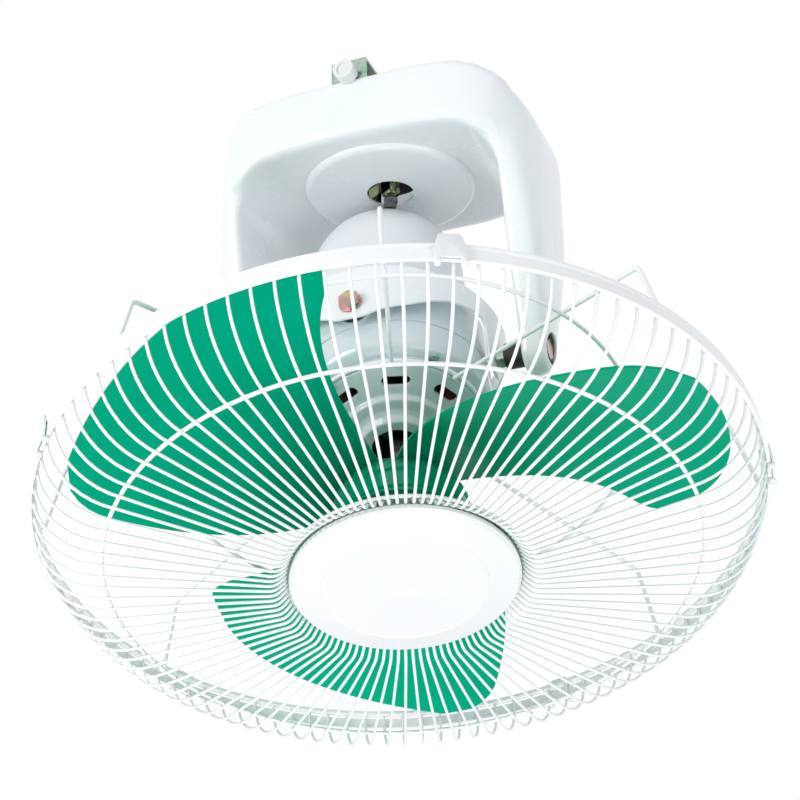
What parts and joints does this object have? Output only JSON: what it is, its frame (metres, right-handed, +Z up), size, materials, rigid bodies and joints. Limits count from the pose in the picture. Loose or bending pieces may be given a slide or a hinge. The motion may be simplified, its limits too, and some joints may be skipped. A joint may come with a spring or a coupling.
{
  "type": "orbital ceiling fan",
  "caption": "Orbit ceiling fan: a pressed steel saddle on the ceiling, a gimbal ring, a caged motor head with broad green blades, and a crank that walks the head round.",
  "frame": {"origin": "centre of the two ceiling screw holes, on the bracket's ceiling face", "axes": "+Z up into the ceiling, +X towards one arm, +Y towards the long side away from the viewer"},
  "size_m": [0.4619, 0.4513, 0.4378],
  "materials": {
    "white_steel": "gloss white enamel with a cool cast",
    "cover_white": "white plastic",
    "motor_paint": "pale blue-grey enamel",
    "wire_white": "white powder coat",
    "clip_white": "white plastic",
    "badge_white": "bare gloss white",
    "knob_white": "white plastic knob",
    "fan_green": "emerald green plastic",
    "zinc": "bright zinc plate",
    "yellow_zinc": "yellow iridescent zinc plate",
    "black_rubber": "matt black",
    "terminal_plastic": "ivory",
    "brass": "turned brass",
    "steel": "bright steel",
    "laminations": "stacked steel sheets",
    "copper_wire": "varnished copper wire",
    "die_cast": "die-cast grey",
    "capacitor_black": "black"
  },
  "bodies": {
    "saddle": {"ceiling_bracket": "zinc", "bracket_nuts": "zinc", "base_frame": "white_steel", "dish_cup": "white_steel", "terminal_block": "terminal_plastic", "terminal_screws": "brass", "crank_socket": "yellow_zinc", "socket_screws": "zinc", "arm_bolts": "yellow_zinc", "arm_bushes": "black_rubber", "arm_nuts": "zinc"},
    "thumb_screw_near": {"thumb_screw_1": "knob_white"},
    "thumb_screw_far": {"thumb_screw_2": "knob_white"},
    "ring": {"gimbal_ring": "white_steel"},
    "head": {"ring_bolts": "yellow_zinc", "ring_bushes": "black_rubber", "rear_cover": "cover_white", "rear_shell": "motor_paint", "front_shell": "motor_paint", "shell_screws": "zinc", "stator_core": "laminations", "stator_winding": "copper_wire", "front_bearing": "steel", "rear_bearing": "steel", "run_capacitor": "capacitor_black", "gearbox_base": "die_cast", "gearbox_lid": "die_cast", "rear_spoke_1": "wire_white", "rear_spoke_2": "wire_white", "rear_spoke_3": "wire_white", "rear_spoke_4": "wire_white", "rear_spoke_5": "wire_white", "rear_spoke_6": "wire_white", "rear_spoke_7": "wire_white", "rear_spoke_8": "wire_white", "rear_rim_ring": "wire_white", "rear_mid_ring": "wire_white", "rear_inner_ring": "wire_white", "front_hoop": "wire_white", "front_wires": "wire_white", "front_rings": "wire_white", "badge": "badge_white", "badge_plate": "zinc"},
    "fan": {"motor_shaft": "steel", "motor_pinion": "brass", "rotor_core": "laminations", "drive_pin": "steel", "fan_blades": "fan_green", "blade_nut": "fan_green"},
    "first_gear": {"gear_first": "brass"},
    "second_gear": {"gear_second": "brass"},
    "crank": {"crank_gear": "steel", "crank_arm": "steel", "crank_pin": "steel", "crank_screw": "steel"},
    "clip_1": {"guard_clip_1": "clip_white"},
    "clip_2": {"guard_clip_2": "clip_white"},
    "clip_3": {"guard_clip_3": "clip_white"},
    "clip_4": {"guard_clip_4": "clip_white"},
    "clip_5": {"guard_clip_5": "clip_white"}
  },
  "joints": [
    {"name": "ring_pivot", "type": "hinge", "parent": "saddle", "child": "ring", "pos_m": [0, 0, -0.212], "axis": [1, 0, 0], "range_deg": [-2.1, 36.7]},
    {"name": "head_pivot", "type": "hinge", "parent": "ring", "child": "head", "pos_m": [0, 0, -0.212], "axis": [0, 0.9549, -0.2969], "range_deg": [-10.4, 28.4]},
    {"name": "fan_spin", "type": "hinge", "parent": "head", "child": "fan", "pos_m": [0, 0, -0.212], "axis": [-0.1559, 0.2933, 0.9432], "continuous": true},
    {"name": "first_gear_spin", "type": "hinge", "parent": "head", "child": "first_gear", "pos_m": [0.01865, 0.0129, -0.17052], "axis": [-0.1559, 0.2933, 0.9432], "continuous": true},
    {"name": "second_gear_spin", "type": "hinge", "parent": "head", "child": "second_gear", "pos_m": [0.01589, 0.03668, -0.17837], "axis": [-0.1559, 0.2933, 0.9432], "continuous": true},
    {"name": "crank_spin", "type": "hinge", "parent": "head", "child": "crank", "pos_m": [0, 0, -0.212], "axis": [-0.1559, 0.2933, 0.9432], "continuous": true},
    {"name": "thumb_screw_near_turn", "type": "hinge", "parent": "saddle", "child": "thumb_screw_near", "pos_m": [0, -0.078, -0.013], "axis": [0, -1, 0], "range_deg": [0, 720]},
    {"name": "thumb_screw_far_turn", "type": "hinge", "parent": "saddle", "child": "thumb_screw_far", "pos_m": [0, 0.078, -0.013], "axis": [0, 1, 0], "range_deg": [0, 720]},
    {"name": "clip_1_latch", "type": "hinge", "parent": "head", "child": "clip_1", "pos_m": [0.12415, -0.22694, -0.25322], "axis": [-0.877, -0.4806, 0.0044], "range_deg": [0, 90]},
    {"name": "clip_2_latch", "type": "hinge", "parent": "head", "child": "clip_2", "pos_m": [-0.14027, -0.20067, -0.30511], "axis": [-0.7033, 0.6375, -0.3145], "range_deg": [0, 90]},
    {"name": "clip_3_latch", "type": "hinge", "parent": "head", "child": "clip_3", "pos_m": [-0.18394, 0.05233, -0.39099], "axis": [0.4423, 0.8746, -0.1988], "range_deg": [0, 90]},
    {"name": "clip_4_latch", "type": "hinge", "parent": "head", "child": "clip_4", "pos_m": [0.05348, 0.18244, -0.3922], "axis": [0.9767, -0.097, 0.1916], "range_deg": [0, 90]},
    {"name": "clip_5_latch", "type": "hinge", "parent": "head", "child": "clip_5", "pos_m": [0.24389, 0.00984, -0.30705], "axis": [0.1613, -0.9345, 0.3172], "range_deg": [0, 90]}
  ],
  "couplings": [
    {"joint": "first_gear_spin", "follows": "fan_spin", "ratio": -0.2},
    {"joint": "second_gear_spin", "follows": "fan_spin", "ratio": 0.04},
    {"joint": "crank_spin", "follows": "fan_spin", "ratio": -0.0057143}
  ]
}
